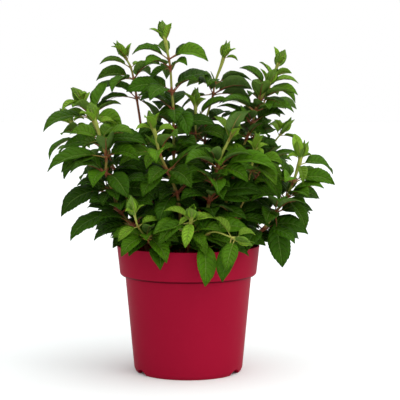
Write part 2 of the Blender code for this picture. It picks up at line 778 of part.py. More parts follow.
def place_node_leaves(ring, node, obstacles, tries):
    """The node's leaves, each from where it leaves the round piece that bears it.

    A grown pair has two leaves; elsewhere a leaf that finds no room is left out.
    """
    tip = node.kind == "tip"
    shortest = {"tip": SHORTEST_LEAF, "young": SHORTEST_YOUNG_LEAF}.get(node.kind, SHORTEST_GROWN_LEAF)
    leaves = []
    for end in node.ends:
        start = ring.centre + level(end) * ring.radius
        reach = ring.centre + end - start
        reach = reach * max(1, shortest / reach.length)
        leaf = place_leaf(start, reach, TIP_LEAF_ROOM if tip else LEAF_ROOM, obstacles, tries)
        if leaf is None and node.kind == "knuckle":
            raise ValueError("no room for a leaf of a grown pair")
        if leaf:
            leaves.append(leaf)
    return leaves


def make_plant(collection, obstacles, canes, **placing):
    """The growing tips find their room first, then the grown pairs, then the lower leaves."""
    knuckles = {}
    for cane in canes:
        for node in cane.nodes:
            if node.kind == "knuckle":
                ring = knuckle_ring(cane, node)
                knuckles[cane.shoot.name, node.low] = ring
                ends = [ring._replace(centre=ring.centre + ring.along * h).corners()
                        for h in (-KNUCKLE_HEIGHT / 2, KNUCKLE_HEIGHT / 2)]
                obstacles.append(Obstacle.from_loft(ends))
    tries = leaf_tries()
    leaves = {}
    for kind in ("tip", "young", "knuckle", "lower"):
        for cane in canes:
            for node in cane.nodes:
                if node.kind == kind:
                    key = cane.shoot.name, node.low
                    ring = knuckles.get(key) or cane.stretch(node)
                    leaves[key] = place_node_leaves(ring, node, obstacles, tries)
    number = 0
    for cane in canes:
        own = {}
        for node in cane.nodes:
            key = cane.shoot.name, node.low
            if node.kind == "knuckle":
                number += 1
                make_pair(f"leaf_pair_{number:02d}", knuckles[key], leaves[key], collection, **placing)
            else:
                own[node.low] = leaves[key]
        make_cane(cane, own, collection, **placing)


def main():
    clear_scene()
    parts = new_collection("potted_hydrangea")
    pot_cutters = new_collection("pot_cutters")
    soil_cutters = new_collection("soil_cutters")
    axis = bpy.data.objects.new("pot_axis", None)
    parts.objects.link(axis)

    plastic = new_material("crimson_plastic", (0.29, 0.012, 0.032), 0.45)
    earth = new_material("potting_soil", (0.022, 0.014, 0.009), 0.95)
    green = new_material("leaf_green", (0.075, 0.17, 0.018), 0.5)
    bark = new_material("cane_green", (0.24, 0.24, 0.05), 0.6)

    pot = make_pot(parts, pot_cutters, parent=axis, material=plastic)
    rim = Obstacle.from_object(pot)
    canes = place_canes([rim])
    soil = make_soil(parts, soil_cutters, canes, parent=axis, material=earth)
    ground = Obstacle.from_object(soil)
    standing = [Obstacle.from_loft([ring.corners() for ring in cane.rings]) for cane in canes]
    make_plant(parts, [rim, ground] + standing, canes, parent=axis)
    for obj in parts.objects:
        if obj.type == "MESH" and not obj.data.materials:
            obj.data.materials.append(bark if obj.name.startswith("cane") else green)
    for obj in (pot, soil):
        obj.data.shade_smooth()
        obj.data.set_sharp_from_angle(angle=math.radians(35))


main()
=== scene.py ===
"""A young hydrangea in a crimson nursery pot: upright canes, paired leaves and cupped tips.

The plant's plan comes from the frame. Each cane's rings give a stem its course, and each
plain leaf gives a veined blade its place, bend and turn.
"""

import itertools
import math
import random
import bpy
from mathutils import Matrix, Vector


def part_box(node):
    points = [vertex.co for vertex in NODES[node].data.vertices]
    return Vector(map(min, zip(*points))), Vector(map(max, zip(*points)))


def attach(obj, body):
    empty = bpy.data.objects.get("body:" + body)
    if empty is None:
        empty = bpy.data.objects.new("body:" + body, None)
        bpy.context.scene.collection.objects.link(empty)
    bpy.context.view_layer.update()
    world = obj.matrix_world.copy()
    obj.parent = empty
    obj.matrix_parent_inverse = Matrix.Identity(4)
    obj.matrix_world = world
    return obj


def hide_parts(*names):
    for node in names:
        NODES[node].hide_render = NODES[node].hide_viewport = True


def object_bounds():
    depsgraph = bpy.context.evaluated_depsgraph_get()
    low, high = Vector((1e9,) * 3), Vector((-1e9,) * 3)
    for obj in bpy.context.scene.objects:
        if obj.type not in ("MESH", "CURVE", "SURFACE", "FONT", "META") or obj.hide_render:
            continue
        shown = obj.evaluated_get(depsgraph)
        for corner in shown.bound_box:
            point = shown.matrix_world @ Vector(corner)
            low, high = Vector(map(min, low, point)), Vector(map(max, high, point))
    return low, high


bl_info = {
    "name": "Potted hydrangea",
    "version": (1, 0, 0),
    "blender": (4, 5, 0),
    "location": "3D View > Sidebar > Hydrangea",
    "description": "Dresses the plain plant, soil and pot as living leaves, bark, earth and plastic",
    "category": "Object",
}

from typing import NamedTuple

import bmesh
import bpy
import numpy as np
from bpy.props import FloatProperty, FloatVectorProperty, IntProperty, PointerProperty
from mathutils import Vector
from mathutils.kdtree import KDTree

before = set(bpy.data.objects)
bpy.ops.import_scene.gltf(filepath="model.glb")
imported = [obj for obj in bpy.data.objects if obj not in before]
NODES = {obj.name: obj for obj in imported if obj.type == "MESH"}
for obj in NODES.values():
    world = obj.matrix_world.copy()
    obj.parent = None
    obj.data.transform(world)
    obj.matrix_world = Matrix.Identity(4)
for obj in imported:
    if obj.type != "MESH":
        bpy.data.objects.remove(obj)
CAD_BOX = [list(corner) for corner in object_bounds()]
CANES = sorted(name for name in NODES if name.startswith("cane_"))
PAIRS = sorted(name for name in NODES if name.startswith("leaf_pair_"))
POT_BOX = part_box("pot")
SOIL_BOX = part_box("potting_soil")

UP = Vector((0, 0, 1))
# Corners this near are one corner.
MERGE = 0.00001

# The plain plant: its canes have six corners a ring, a node is two rings at a knuckle's distance,
# a leaf's end has only tiny edges, and a leaf has sections at these shares of its length.
CANE_SIDES = 6
LONGEST_KNUCKLE = 0.0062
SHORTEST_KNUCKLE = 0.0035
TINY_EDGE = 0.0008
LEAF_STATIONS = (0.16, 0.3448, 0.664, 1.0)
PLAIN_FOLD = math.radians(12)
PLAIN_WIDTH = 0.92
PETIOLE_END = LEAF_STATIONS[0]

# Columns and rows of a blade's mesh: the grown pairs, and the leaves that are many.
FINE_GRID = 6, 24
PLAIN_GRID = 4, 8


# ---------------------------------------------------------------- sizes and colours

def a_length(name, description, default):
    return FloatProperty(name=name, description=description, default=default, unit="LENGTH")


def a_share(name, description, default):
    return FloatProperty(name=name, description=description, default=default, subtype="FACTOR")


def an_angle(name, description, degrees):
    return FloatProperty(name=name, description=description, default=math.radians(degrees),
                         subtype="ANGLE")


def a_number(name, description, default):
    return FloatProperty(name=name, description=description, default=default)


def a_count(name, description, default):
    return IntProperty(name=name, description=description, default=default)


def a_colour(name, description, default):
    return FloatVectorProperty(name=name, description=description, default=default, subtype="COLOR")


class PotSettings(bpy.types.PropertyGroup):
    height: a_length("Height", "Foot to rim", POT_BOX[1].z)
    rim_radius: a_length("Rim radius", "Outside of the rim", POT_BOX[1].x)
    band_height: a_length("Band height", "Depth of the wide band under the rim", 0.041)
    band_foot_radius: a_length("Band foot radius", "Outside of the band's foot", 0.0927)
    body_top_radius: a_length("Body top radius", "Body just under the band", 0.0860)
    body_base_radius: a_length("Body base radius", "Body above the foot", 0.0742)
    wall: a_length("Wall", "Thickness of the moulded wall", 0.0022)
    foot_radius: a_length("Foot radius", "Outside of the foot's flat ring", 0.0717)
    foot_width: a_length("Foot width", "Width of the foot's flat ring", 0.005)
    floor_height: a_length("Floor height", "Underside of the pot's floor", 0.008)
    floor_thickness: a_length("Floor thickness", "Thickness of the pot's floor", 0.0025)
    notches: a_count("Notches", "Drainage notches in the foot", 3)
    notch_width: a_length("Notch width", "Drainage notch in the foot", 0.022)
    notch_height: a_length("Notch height", "Drainage notch in the foot", 0.007)
    drains: a_count("Drains", "Holes in the pot's floor", 6)
    drain_radius: a_length("Drain radius", "Hole in the pot's floor", 0.005)
    drain_circle: a_length("Drain circle", "Radius the drain holes stand on", 0.042)
    colour: a_colour("Colour", "Moulded plastic", (0.300, 0.0055, 0.0260))


class SoilSettings(bpy.types.PropertyGroup):
    lump: a_length("Lumps", "Height of the soil's lumps", 0.0022)
    crumbs: a_count("Crumbs", "Loose crumbs on the soil", 420)
    largest_crumb: a_length("Largest crumb", "Radius of the largest crumb", 0.0030)
    colour: a_colour("Colour", "Moist peat", (0.030, 0.018, 0.010))


class CaneSettings(bpy.types.PropertyGroup):
    swelling: a_share("Swelling", "How much a node stands out of the cane", 0.42)
    node_length: a_length("Node length", "Reach of a node's swelling", 0.0032)
    petiole_radius: a_length("Petiole radius", "Leaf stalk at the blade", 0.00085)
    young_colour: a_colour("Young bark", "Bark near the tips", (0.30, 0.34, 0.050))
    old_colour: a_colour("Old bark", "Bark at the foot", (0.29, 0.125, 0.044))
    node_colour: a_colour("Node colour", "Bark at nodes and petioles", (0.23, 0.058, 0.018))


class LeafSettings(bpy.types.PropertyGroup):
    thickness: a_length("Thickness", "Thickness of a blade", 0.00036)
    width: a_share("Width", "Blade width against the plain leaf's", 0.90)
    fold: an_angle("Fold", "Rise of the blade's halves from the midrib", 24)
    droop: a_share("Droop", "How far the margin curves back down", 0.26)
    recurve: a_share("Recurve", "How far the leaf's end hangs", 0.55)
    axil_leaves: a_count("Side shoot leaves", "Leaves tried for at a node a third of the way up", 5)
    veins: a_count("Veins", "Pairs of side veins", 7)
    grown_colour: a_colour("Grown leaf", "Upper side of a grown leaf", (0.0225, 0.069, 0.0010))
    middle_colour: a_colour("Middle leaf", "Upper side half grown", (0.046, 0.122, 0.0020))
    young_colour: a_colour("Young leaf", "Upper side of a tip leaf", (0.180, 0.320, 0.024))
    under_colour: a_colour("Underside", "Pale matte underside", (0.100, 0.178, 0.038))


class StageSettings(bpy.types.PropertyGroup):
    floor_colour: a_colour("Floor", "Plain pale floor", (0.872, 0.90, 0.898))
    sky: a_number("Sky", "Strength of the light from the bright side", 2.12)
    horizon: a_number("Horizon", "Strength of the light from the sides", 0.03)
    key: FloatProperty(name="Key", description="Power of the main light", default=6.0, unit="POWER")
    camera_distance: a_length("Camera distance", "In front of the pot's axis", 1.674)
    camera_height: a_length("Camera height", "Above the floor", 0.356)
    camera_side: a_length("Camera side", "To the right of the pot's axis", 0.016)
    camera_pitch: an_angle("Camera pitch", "How far the camera looks down", 4.2)
    focal_length: a_number("Focal length", "Lens in millimetres", 111.0)


# ---------------------------------------------------------------- reading the plan

class Leaf(NamedTuple):
    """A plain leaf: start + run t + bend t t is its midrib, and side points across it."""

    host: Vector
    start: Vector
    run: Vector
    bend: Vector
    side: Vector
    half_width: float
    age: float = 1.0

    def place(self, t):
        return self.start + self.run * t + self.bend * (t * t)

    def length(self):
        return (self.run + self.bend).length


class Cane(NamedTuple):
    """A cane's ring middles and radii from its foot to its bud, and its own leaves."""

    name: str
    middles: list
    radii: list
    leaves: list

    def top(self):
        return self.middles[-1]


def middle(places):
    return sum(places, Vector()) / len(places)


def welded(node):
    """The node's corners merged, and for each corner the ones it shares an edge with."""
    bm = bmesh.new()
    bm.from_mesh(NODES[node].data)
    bmesh.ops.remove_doubles(bm, verts=bm.verts, dist=MERGE)
    bm.verts.index_update()
    places = [corner.co.copy() for corner in bm.verts]
    touching = [{edge.other_vert(corner).index for edge in corner.link_edges}
                for corner in bm.verts]
    bm.free()
    return places, touching


def small_groups(places, touching):
    """Groups of corners joined by tiny edges: the ends of leaves and buds."""
    groups, seen = [], set()
    for first in range(len(places)):
        if first in seen:
            continue
        group, fresh = {first}, [first]
        while fresh:
            here = fresh.pop()
            near = {n for n in touching[here] - group
                    if (places[n] - places[here]).length < TINY_EDGE}
            group |= near
            fresh += near
        seen |= group
        if len(group) > 1:
            groups.append(group)
    return groups


def section_facts(corners):
    """The midrib's place on a section, its two margins and their lift out of its plane."""
    left, right = max(itertools.combinations(corners, 2),
                      key=lambda pair: (pair[0] - pair[1]).length)
    ridge = middle([corner for corner in corners if corner not in (left, right)])
    return ridge, (left - right).length / 2, middle([left, right]) - ridge


def read_leaf(places, touching, end):
    """The leaf that ends in this group of corners, and all the corners that are its own.

    Its sections are found one after another by their shared edges: the end, two sections of the
    blade, the petiole, and the face of the node that it grows from.
    """
    layers, seen = [end], set(end)
    while len(layers) < 5:
        layer = {n for corner in layers[-1] for n in touching[corner]} - seen
        seen |= layer
        layers.append(layer)
    end, outer, inner, petiole, host = [[places[corner] for corner in layer] for layer in layers]
    outer_ridge, _, outer_lift = section_facts(outer)
    inner_ridge, half_width, inner_lift = section_facts(inner)
    midrib = [middle(petiole), inner_ridge, outer_ridge, middle(end)]
    bend, run, start = [Vector(row) for row in np.polyfit(LEAF_STATIONS, midrib, 2)]
    heading = run + bend
    side = heading.cross(inner_lift + outer_lift).normalized()
    half_width /= math.cos(PLAIN_FOLD) * PLAIN_WIDTH
    leaf = Leaf(middle(host), start, run, bend, side, half_width)
    return leaf, set().union(*layers[:4])


def read_leaves(places, touching):
    found = [read_leaf(places, touching, group) for group in small_groups(places, touching)
             if len(group) == 4]
    return [leaf for leaf, _ in found], set().union(*[own for _, own in found])


def rings_along(places, own):
    """The cane's rings, foot to bud, each one the nearest corners beyond the last."""
    bark = [place for i, place in enumerate(places) if i not in own]
    bark.sort(key=lambda place: place.z)
    rings = []
    while bark:
        rings.append(bark[:CANE_SIDES])
        centre = middle(rings[-1])
        bark = sorted(bark[CANE_SIDES:], key=lambda place: (place - centre).length)
    return rings


def read_cane(node):
    places, touching = welded(node)
    leaves, own = read_leaves(places, touching)
    rings = rings_along(places, own)
    middles = [middle(ring) for ring in rings]
    radii = [sum((corner - centre).length for corner in ring) / len(ring)
             for ring, centre in zip(rings, middles)]
    leaves = [leaf._replace(age=min(1, max(age_below(middles[-1], leaf.host), age_of_size(leaf))))
              for leaf in leaves]
    return Cane(node[len("cane_"):], middles, radii, leaves)


def age_below(top, place):
    """0 for a leaf at the growing tip, up to 1 for one that is well below it."""
    return min(1, max(0, (top - place).length - 0.012) / 0.085)


def age_of_size(leaf):
    """0 for a leaf of 36 mm, and 1 for one of 66 mm."""
    return (leaf.length() - 0.036) / 0.03


def knuckles(cane, above, shortest=0):
    """The cane's nodes over this height, as (middle, radius)."""
    return [(middle([a, b]), radius)
            for a, b, radius in zip(cane.middles, cane.middles[1:], cane.radii)
            if shortest < (a - b).length < LONGEST_KNUCKLE and a.z > above]


class Pair(NamedTuple):
    """A grown pair of leaves and the node that it belongs to."""

    name: str
    node: Vector
    leaves: list


def read_pair(node):
    places, touching = welded(node)
    leaves, own = read_leaves(places, touching)
    centre = middle([place for i, place in enumerate(places) if i not in own])
    cane = min(canes, key=lambda c: min((m - centre).length for m in c.middles))
    age = max(0.45, age_below(cane.top(), centre))
    return Pair(node, centre, [leaf._replace(age=age) for leaf in leaves])


canes = [read_cane(node) for node in CANES]
pairs = [read_pair(node) for node in PAIRS]


# ---------------------------------------------------------------- handling objects

def alone(*objs):
    """Only these objects are selected, and the first is active."""
    bpy.ops.object.select_all(action="DESELECT")
    for obj in objs:
        obj.select_set(True)
    bpy.context.view_layer.objects.active = objs[0]


def apply_all(obj):
    alone(obj)
    for modifier in list(obj.modifiers):
        bpy.ops.object.modifier_apply(modifier=modifier.name)


def settle(obj):
    """The object's place goes into its mesh."""
    alone(obj)
    bpy.ops.object.transform_apply(location=True, rotation=True, scale=True)


def joined(name, objs):
    alone(*objs)
    if len(objs) > 1:
        bpy.ops.object.join()
    obj = bpy.context.view_layer.objects.active
    obj.name = obj.data.name = name
    return obj


def surfaced(piece, material, degrees):
    """Its material, and smooth shading but for edges sharper than this."""
    piece.data.materials.append(material)
    alone(piece)
    bpy.ops.object.shade_smooth_by_angle(angle=math.radians(degrees))


def belongs(piece, slot, *nodes):
    """The finished piece moves with the plant and stands for these plain nodes."""
    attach(piece, "root")
    if nodes:
        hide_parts(*nodes)


def linked(name, data):
    obj = bpy.data.objects.new(name, data)
    bpy.context.scene.collection.objects.link(obj)
    return obj


def point_values(mesh, name, values):
    attribute = mesh.attributes.new(name, "FLOAT", "POINT")
    attribute.data.foreach_set("value", np.asarray(values, np.float32))


def places_of(mesh):
    places = np.empty(len(mesh.vertices) * 3, np.float32)
    mesh.vertices.foreach_get("co", places)
    return places.reshape(-1, 3).astype(float)


def set_places(mesh, places):
    mesh.vertices.foreach_set("co", np.asarray(places, np.float32).ravel())
    mesh.update()


def choose(obj, wanted):
    """In edit mode, selects the corners for which wanted(place) is true."""
    bpy.ops.mesh.select_all(action="DESELECT")
    bm = bmesh.from_edit_mesh(obj.data)
    for corner in bm.verts:
        corner.select = wanted(corner.co)
    bm.select_flush(True)
    bmesh.update_edit_mesh(obj.data)


def drawn_tubes(name, courses, roundness):
    """Closed round tubes along courses of (place, radius), as one mesh."""
    curve = bpy.data.curves.new(name, "CURVE")
    curve.dimensions = "3D"
    curve.bevel_depth = 1
    curve.bevel_resolution = roundness
    curve.use_fill_caps = True
    for course in courses:
        spline = curve.splines.new("POLY")
        spline.points.add(len(course) - 1)
        for point, (place, radius) in zip(spline.points, course):
            point.co = (*place, 1)
            point.radius = radius
    obj = linked(name, curve)
    alone(obj)
    bpy.ops.object.convert(target="MESH")
    bpy.ops.object.mode_set(mode="EDIT")
    bpy.ops.mesh.select_all(action="SELECT")
    bpy.ops.mesh.remove_doubles(threshold=MERGE)
    bpy.ops.mesh.normals_make_consistent(inside=False)
    bpy.ops.object.mode_set(mode="OBJECT")
    bpy.ops.object.shade_smooth()
    return obj


def flowing(middles, step):
    """Points about step apart on a smooth curve through the middles, as (place, where)."""
    gaps = [(b - a).length for a, b in zip(middles, middles[1:])]
    leans = [(b - a) / gap for a, b, gap in zip(middles, middles[1:], gaps)]
    slopes = [leans[0]]
    for i in range(1, len(gaps)):
        slopes.append((leans[i - 1] * gaps[i] + leans[i] * gaps[i - 1]) / (gaps[i - 1] + gaps[i]))
    slopes.append(leans[-1])
    points = []
    for i, gap in enumerate(gaps):
        count = max(1, round(gap / step))
        for k in range(count):
            t = k / count
            place = (middles[i] * (2 * t**3 - 3 * t**2 + 1)
                     + slopes[i] * gap * (t**3 - 2 * t**2 + t)
                     + middles[i + 1] * (3 * t**2 - 2 * t**3)
                     + slopes[i + 1] * gap * (t**3 - t**2))
            points.append((place, i + t))
    points.append((middles[-1], len(gaps)))
    return points


# ---------------------------------------------------------------- shader maths

class Number:
    """A number in a material's node tree, which Python's operators reckon with."""

    def __init__(self, nodes, socket):
        self.nodes = nodes
        self.socket = socket

    def reckon(self, operation, *others):
        return self.nodes.node("ShaderNodeMath", [self, *others], operation=operation)

    def __add__(self, other):
        return self.reckon("ADD", other)

    __radd__ = __add__

    def __sub__(self, other):
        return self.reckon("SUBTRACT", other)

    def __rsub__(self, other):
        return self.nodes.node("ShaderNodeMath", [other, self], operation="SUBTRACT")

    def __mul__(self, other):
        return self.reckon("MULTIPLY", other)

    __rmul__ = __mul__

    def __pow__(self, other):
        return self.reckon("POWER", other)

    def fraction(self):
        return self.reckon("FRACT")

    def size(self):
        return self.reckon("ABSOLUTE")

    def ramp(self, low, high):
        """0 up to low and 1 from high on, with a soft rise between; high may be the lower."""
        return self.nodes.node("ShaderNodeMapRange",
                               {"Value": self, "From Min": low, "From Max": high},
                               interpolation_type="SMOOTHSTEP")


class Nodes:
    """The node tree of a material or of the sky."""

    def __init__(self, tree):
        self.tree = tree

    def node(self, kind, inputs=(), output=0, **settings):
        """A new node with its settings, then its inputs; gives the wanted output."""
        node = self.tree.nodes.new(kind)
        for name, value in settings.items():
            setattr(node, name, value)
        for key, value in inputs.items() if isinstance(inputs, dict) else enumerate(inputs):
            self.feed(node.inputs[key], value)
        return Number(self, node.outputs[output])

    def feed(self, socket, value):
        if isinstance(value, Number):
            self.tree.links.new(value.socket, socket)
        elif socket.type == "RGBA":
            socket.default_value = (*value, 1)
        else:
            socket.default_value = value


class Finish(Nodes):
    """A material and the nodes that make its surface."""

    def __init__(self, name, **constants):
        self.material = bpy.data.materials.new(name)
        self.material.use_nodes = True
        super().__init__(self.material.node_tree)
        self.surface = self.tree.nodes["Principled BSDF"]
        for socket, value in constants.items():
            self.surface.inputs[socket.replace("_", " ")].default_value = value

    def place(self):
        return self.node("ShaderNodeTexCoord", output="Object")

    def noise(self, scale, detail, roughness=0.55):
        return self.node("ShaderNodeTexNoise", {"Vector": self.place(), "Scale": scale,
                                                "Detail": detail, "Roughness": roughness})

    def value(self, attribute):
        return self.node("ShaderNodeAttribute", output="Fac", attribute_name=attribute)

    def mix(self, share, first, second):
        return self.node("ShaderNodeMix", {0: share, 6: first, 7: second}, output=2,
                         data_type="RGBA")

    def shade(self, colour, share):
        """The colour made lighter or darker by a share, which is 1 for no change."""
        return self.node("ShaderNodeVectorMath", {0: colour, "Scale": share}, operation="SCALE")

    def colour(self, value):
        self.feed(self.surface.inputs["Base Color"], value)

    def roughness(self, value):
        self.feed(self.surface.inputs["Roughness"], value)

    def bump(self, height, distance, strength=1.0):
        bump = self.node("ShaderNodeBump", {"Height": height, "Distance": distance,
                                            "Strength": strength})
        self.feed(self.surface.inputs["Normal"], bump)


# Colours that a finish's own colour is mixed with.
SCUFF = 0.50, 0.10, 0.12
DRY_CLOD = 0.085, 0.052, 0.028
BARK_CHIP = 0.16, 0.085, 0.042
LENTICEL = 0.42, 0.34, 0.20
YOUNG_VEIN = 0.34, 0.48, 0.11
GROWN_VEIN = 0.17, 0.30, 0.06
UNDER_VEIN = 0.24, 0.33, 0.10


def plastic_finish(colour, crease):
    """Scuffed matte plastic, with painted shade darkening the crease under the band."""
    finish = Finish("crimson_plastic", Specular_IOR_Level=0.02)
    mottle = finish.noise(9, 4)
    grain = finish.noise(1600, 2)
    scuff = finish.noise(55, 6, roughness=0.75).ramp(0.60, 0.74)
    height = finish.node("ShaderNodeSeparateXYZ", [finish.place()], output="Z")
    # Painted shade: a dark line in the colour at the crease height under the band, standing in for
    # the band's overhang shadow.
    crease_painted_shade = (height - crease).size().ramp(0.0024, 0.0006)
    base = finish.shade(colour, (0.90 + mottle * 0.20) * (1 - crease_painted_shade * 0.72))
    finish.colour(finish.mix(scuff * 0.06, base, SCUFF))
    finish.roughness(0.40 + mottle * 0.08 + scuff * 0.12)
    finish.bump(grain * 0.5 + finish.noise(140, 2) * 0.5, 0.00012, 0.5)
    return finish.material


def soil_finish(colour):
    finish = Finish("peat", Specular_IOR_Level=0.25)
    clods = finish.noise(160, 6, roughness=0.7)
    fibre = finish.noise(900, 3)
    finish.colour(finish.mix(clods.ramp(0.42, 0.68), colour, DRY_CLOD))
    finish.roughness(0.82 + fibre * 0.16)
    finish.bump(clods + fibre * 0.4, 0.0012)
    return finish.material


def crumb_finish(colour):
    finish = Finish("bark_crumb", Specular_IOR_Level=0.25)
    fibre = finish.noise(700, 4)
    base = finish.mix(finish.value("tone"), colour, BARK_CHIP)
    finish.colour(finish.shade(base, 0.7 + fibre * 0.6))
    finish.roughness(0.78 + fibre * 0.2)
    finish.bump(fibre, 0.0005)
    return finish.material


def bark_finish(young, old, node):
    finish = Finish("green_bark", Specular_IOR_Level=0.35)
    streaks = finish.noise(300, 4)
    lenticels = finish.noise(950, 1).ramp(0.66, 0.72)
    base = finish.mix(finish.value("height").ramp(0.0, 0.5), old, young)
    red = (finish.value("redness") + (streaks - 0.5) * 0.5).ramp(0.2, 0.75)
    base = finish.mix(red, base, node)
    base = finish.mix(lenticels * 0.4, base, LENTICEL)
    finish.colour(finish.shade(base, 0.78 + streaks * 0.44))
    finish.roughness(0.48 + streaks * 0.16)
    finish.bump(streaks * 0.6 + lenticels * 0.5, 0.00025)
    return finish.material


def petiole_finish(young, node):
    finish = Finish("petiole", Specular_IOR_Level=0.4)
    mottle = finish.noise(420, 3)
    red = (finish.value("age") * 0.9 + mottle * 0.5).ramp(0.35, 0.95)
    finish.colour(finish.shade(finish.mix(red, young, node), 0.85 + mottle * 0.3))
    finish.roughness(0.45 + mottle * 0.1)
    finish.bump(mottle, 0.0002)
    return finish.material


def leaf_finish(name, sizes, under):
    """Net of veins on a blade: the unwrapped blade is one unit wide and one long."""
    finish = Finish(name, Specular_IOR_Level=0.02 if under else 0.07, Subsurface_Weight=0.10,
                    Subsurface_Radius=(0.35, 0.8, 0.1), Subsurface_Scale=0.0012)
    spread = finish.node("ShaderNodeUVMap", uv_map="blade")
    across = finish.node("ShaderNodeSeparateXYZ", [spread], output="X")
    along = finish.node("ShaderNodeSeparateXYZ", [spread], output="Y")
    out = (across * 2 - 1).size()
    midrib = out.ramp(0.085, 0.02)
    course = (along - out ** 1.5 * 0.20) * sizes.veins
    ridge = (course.fraction() - 0.5).size() * 2
    fade = out.ramp(1.0, 0.75)
    side_vein = ridge.ramp(0.80, 0.97) * fade
    net = finish.noise(420, 3, roughness=0.6)
    quilt = (1 - ridge ** 2) * out.ramp(0.0, 0.25) * fade
    age, tone = finish.value("age"), finish.value("tone")
    mottle = finish.noise(60, 3)
    if under:
        base = finish.mix(age.ramp(0.5, 0.0), sizes.under_colour, sizes.young_colour)
        base = finish.shade(base, 0.85 + mottle * 0.3)
        base = finish.mix(midrib * 0.5 + side_vein * 0.25, base, UNDER_VEIN)
        finish.roughness(0.72 + net * 0.1)
        finish.bump(midrib * 2.2 + side_vein * 1.1 - quilt * 0.5 + net * 0.25, 0.0005, 0.9)
    else:
        base = finish.mix(age.ramp(0.0, 0.42), sizes.young_colour, sizes.middle_colour)
        base = finish.mix(age.ramp(0.35, 0.95), base, sizes.grown_colour)
        base = finish.shade(base, (0.62 + tone * 0.80) * (0.86 + mottle * 0.28))
        base = finish.mix(midrib * 0.32 + side_vein * 0.14, base,
                          finish.mix(age, YOUNG_VEIN, GROWN_VEIN))
        finish.roughness(0.40 + net * 0.14 + tone * 0.06)
        finish.bump(quilt - midrib * 0.9 - side_vein * 0.6 + net * 0.3, 0.0009)
    finish.colour(base)
    return finish.material


def plain_finish(name, colour, roughness):
    finish = Finish(name)
    shade = finish.noise(3, 2)
    finish.colour(finish.shade(colour, 0.99 + shade * 0.02))
    finish.roughness(roughness)
    return finish.material


def material(name, make, *args):
    """The material of this name, made the first time it is asked for."""
    return bpy.data.materials.get(name) or make(*args)


# ---------------------------------------------------------------- pot

# Height of the slope from the foot to the body, and the rounding of the band's foot.
FOOT_RISE = 0.005
SHOULDER = 0.0055
# Bevels of the foot, and of the corner under the band, where the plastic's colour is darkened as
# painted shade.
FOOT_SOFTNESS = 0.0008
CREASE = 0.0006


def drawn_round(name, profile, steps):
    """A closed round body: a ring drawn out and resized along the profile, its ends filled."""
    radius, height = profile[0]
    bpy.ops.object.select_all(action="DESELECT")
    bpy.ops.mesh.primitive_circle_add(vertices=steps, radius=radius, location=(0, 0, height))
    obj = bpy.context.object
    obj.name = obj.data.name = name
    settle(obj)
    bpy.ops.object.mode_set(mode="EDIT")
    bpy.ops.mesh.select_mode(type="VERT")
    bpy.ops.mesh.select_all(action="SELECT")
    for next_radius, next_height in profile[1:]:
        bpy.ops.mesh.extrude_region_move(
            TRANSFORM_OT_translate={"value": (0, 0, next_height - height)})
        grow = next_radius / radius
        bpy.ops.transform.resize(value=(grow, grow, 1))
        radius, height = next_radius, next_height
    bpy.ops.mesh.edge_face_add()
    first_radius, first_height = profile[0]
    choose(obj, lambda place: abs(place.z - first_height) < MERGE
           and abs(place.xy.length - first_radius) < MERGE)
    bpy.ops.mesh.edge_face_add()
    bpy.ops.mesh.select_all(action="SELECT")
    bpy.ops.mesh.normals_make_consistent(inside=False)
    bpy.ops.object.mode_set(mode="OBJECT")
    return obj


def soften_rings(obj, rings, size, segments):
    """Bevels the edges that run round the body at these radii and heights."""
    alone(obj)
    bpy.ops.object.mode_set(mode="EDIT")
    for radius, height in rings:
        choose(obj, lambda place: abs(place.z - height) < MERGE * 5
               and abs(place.xy.length - radius) < MERGE * 5)
        bpy.ops.mesh.bevel(offset=size, segments=segments, affect="EDGES", offset_type="OFFSET")
    bpy.ops.object.mode_set(mode="OBJECT")


def cut_away(obj, cutters):
    for cutter in cutters:
        modifier = obj.modifiers.new("cut", "BOOLEAN")
        modifier.operation = "DIFFERENCE"
        modifier.object = cutter
    apply_all(obj)
    for cutter in cutters:
        bpy.data.objects.remove(cutter, do_unlink=True)


def round_cutter(reach, angle, height, radius, depth, turn=(0, 0, 0), stretch=(1, 1, 1)):
    """A cylinder at this distance from the pot's axis."""
    bpy.ops.object.select_all(action="DESELECT")
    bpy.ops.mesh.primitive_cylinder_add(
        vertices=32, radius=radius, depth=depth, rotation=turn, scale=stretch,
        location=(reach * math.cos(angle), reach * math.sin(angle), height))
    return bpy.context.object


def notch_cutters(pot):
    reach = pot.body_base_radius
    for i in range(pot.notches):
        angle = math.radians(90 + 360 / pot.notches * i)
        yield round_cutter(reach, angle, 0, 1, reach / 2, (0, math.pi / 2, angle),
                           (pot.notch_height, pot.notch_width / 2, 1))


def drain_cutters(pot):
    step = 360 / pot.drains
    for i in range(pot.drains):
        yield round_cutter(pot.drain_circle, math.radians(step * i + step / 2), pot.floor_height,
                           pot.drain_radius, pot.floor_thickness * 4)


